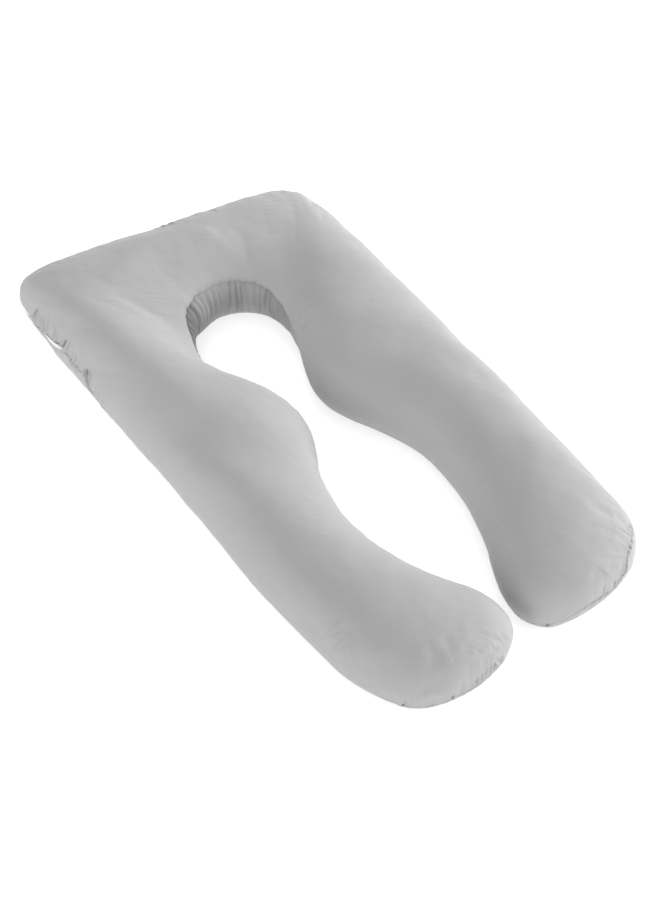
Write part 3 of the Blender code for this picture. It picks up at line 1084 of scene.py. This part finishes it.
def ribbon(name, columns, rows, place_of):
    """A strip of cloth made of a grid whose points are set one by one."""
    bm = bmesh.new()
    bmesh.ops.create_grid(bm, x_segments=columns, y_segments=rows, size=0.5)
    flat = []
    for vertex in bm.verts:
        u = vertex.co.x + 0.5
        v = vertex.co.y + 0.5
        vertex.co = place_of(u, v)
        flat.append((u * TAPE_SIZE[0], v * TAPE_SIZE[1]))
    mesh = bpy.data.meshes.new(name)
    bm.to_mesh(mesh)
    bm.free()
    keep_vectors(mesh, "grain", np.array(flat))
    shade_smooth(mesh)
    return link(bpy.data.objects.new(name, mesh))


def along_curve(ends, share):
    """A point of the smooth curve through three places."""
    first, middle, last = ends
    return (
        first * (2 * (share - 0.5) * (share - 1))
        + middle * (4 * share * (1 - share))
        + last * (2 * share * (share - 0.5))
    )


def along_slit(share):
    return SLIT_FROM + (SLIT_TO - SLIT_FROM) * share


tape_edges = [
    [seam_place(along_slit(share), side * SLIT_WIDTH / 2, ZIP_PROUD)[0] for share in TAPE_HELD]
    for side in (-1, 1)
]


def tape_place(u, v):
    """The tape spans the opening like a chord, a little proud of the sunk cloth behind it."""
    low = along_curve(tape_edges[0], u)
    high = along_curve(tape_edges[1], u)
    return low.lerp(high, 0.5 + (v - 0.5) * float(rounded(u)))


def tail_place(u, v):
    """The tape's end stands out of the seam at the corner, like a fin."""
    along = TAIL_FROM + (TAIL_TO - TAIL_FROM) * u
    width = TAIL_WIDTH * math.sin(math.pi * u)
    return seam_place(along, -TAIL_BELOW - TAIL_DROOP * v, TAIL_PROUD + width * v)[0]


zip_tape = ribbon("zip_tape", 70, 8, tape_place)
tail = ribbon("zip_tail", 70, 5, tail_place)
bm = bmesh.new()
bm.from_mesh(zip_tape.data)
bm.from_mesh(tail.data)
bm.to_mesh(zip_tape.data)
bm.free()
bpy.data.objects.remove(tail)
thick = zip_tape.modifiers.new("thickness", "SOLIDIFY")
thick.thickness = TAPE_THICKNESS
thick.offset = 0.0
flattened(zip_tape, "zip_tape")
bm = bmesh.new()
bm.from_mesh(zip_tape.data)
for index in range(COIL_TURNS):
    u = COIL_START + (1 - 2 * COIL_START) * (index + 0.5) / COIL_TURNS
    _, away = seam_place(along_slit(u), 0.0, 0.0)
    add_bead(bm, [tape_place(u, v) + away * COIL_RADIUS * 1.2 for v in COIL_SIDES], COIL_RADIUS)
bm.to_mesh(zip_tape.data)
bm.free()
shade_smooth(zip_tape.data)
zip_tape.data.materials.clear()
tape = Finish("white_zip_tape", (0.93, 0.93, 0.93), 0.55)
tape_grain = tape.attribute("grain").outputs["Vector"]
tape_weave = tape.weave(tape_grain, pitch=0.0005)
tape.wire(tape.bump(tape_weave, strength=0.4, distance=0.0002), tape.shader.inputs["Normal"])
zip_tape.data.materials.append(tape.material)
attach(zip_tape, "root")
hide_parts("zip")

# The floor
# A plain sheet of pale board, large enough to fill the picture.
FLOOR_SIDE = 40.0
bm = bmesh.new()
bmesh.ops.create_grid(bm, x_segments=1, y_segments=1, size=FLOOR_SIDE / 2)
floor_mesh = bpy.data.meshes.new("floor")
bm.to_mesh(floor_mesh)
bm.free()
floor = link(bpy.data.objects.new("floor", floor_mesh))
board = Finish("pale_floor", (0.70, 0.70, 0.70), 0.9)
board.shader.inputs["Emission Color"].default_value = (1.0, 1.0, 1.0, 1.0)
board.shader.inputs["Emission Strength"].default_value = 0.62
board.shader.inputs["Specular IOR Level"].default_value = 0.1
floor_mesh.materials.append(board.material)

# The light
# Broad soft studio lamps: the main one from the +X side, a weaker one opposite, and weak ones to fill from
# the near side, the far side and above. A small panel stands off the head corner with the zip.
Lamp = namedtuple("Lamp", "name azimuth height strength")
LAMPS = (
    Lamp("main", 0, 16, 3.25),
    Lamp("opposite", 192, 16, 1.00),
    Lamp("near", 315, 16, 0.70),
    Lamp("near high", 240, 62, 0.86),
    Lamp("far high", 100, 58, 0.22),
    Lamp("above", 0, 90, 0.52),
)
LAMP_SOFTNESS = 30
LAMP_AWAY = 3
AIR_LIGHT = 0.04
PANEL_PLACE = Vector((-1.35, 0.95, 0.85))
PANEL_SIDE = 0.9
PANEL_WATTS = 3.6


def add_light(data, place):
    """Hangs a light at this place, facing the middle of the pillow."""
    light = link(bpy.data.objects.new(data.name, data))
    light.location = place
    light.rotation_euler = place.to_track_quat("Z", "Y").to_euler()


for lamp in LAMPS:
    data = bpy.data.lights.new(lamp.name, "SUN")
    data.energy = lamp.strength
    data.angle = math.radians(LAMP_SOFTNESS)
    azimuth = math.radians(lamp.azimuth)
    height = math.radians(lamp.height)
    level = Vector((math.cos(azimuth), math.sin(azimuth), 0.0)) * math.cos(height)
    add_light(data, (level + Vector((0.0, 0.0, math.sin(height)))) * LAMP_AWAY)
data = bpy.data.lights.new("panel", "AREA")
data.energy = PANEL_WATTS
data.size = PANEL_SIDE
add_light(data, PANEL_PLACE)
world = bpy.data.worlds.new("studio")
world.use_nodes = True
world.node_tree.nodes["Background"].inputs["Color"].default_value = (1.0, 1.0, 1.0, 1.0)
world.node_tree.nodes["Background"].inputs["Strength"].default_value = AIR_LIGHT
bpy.context.scene.world = world
bpy.context.scene.view_settings.view_transform = "Standard"
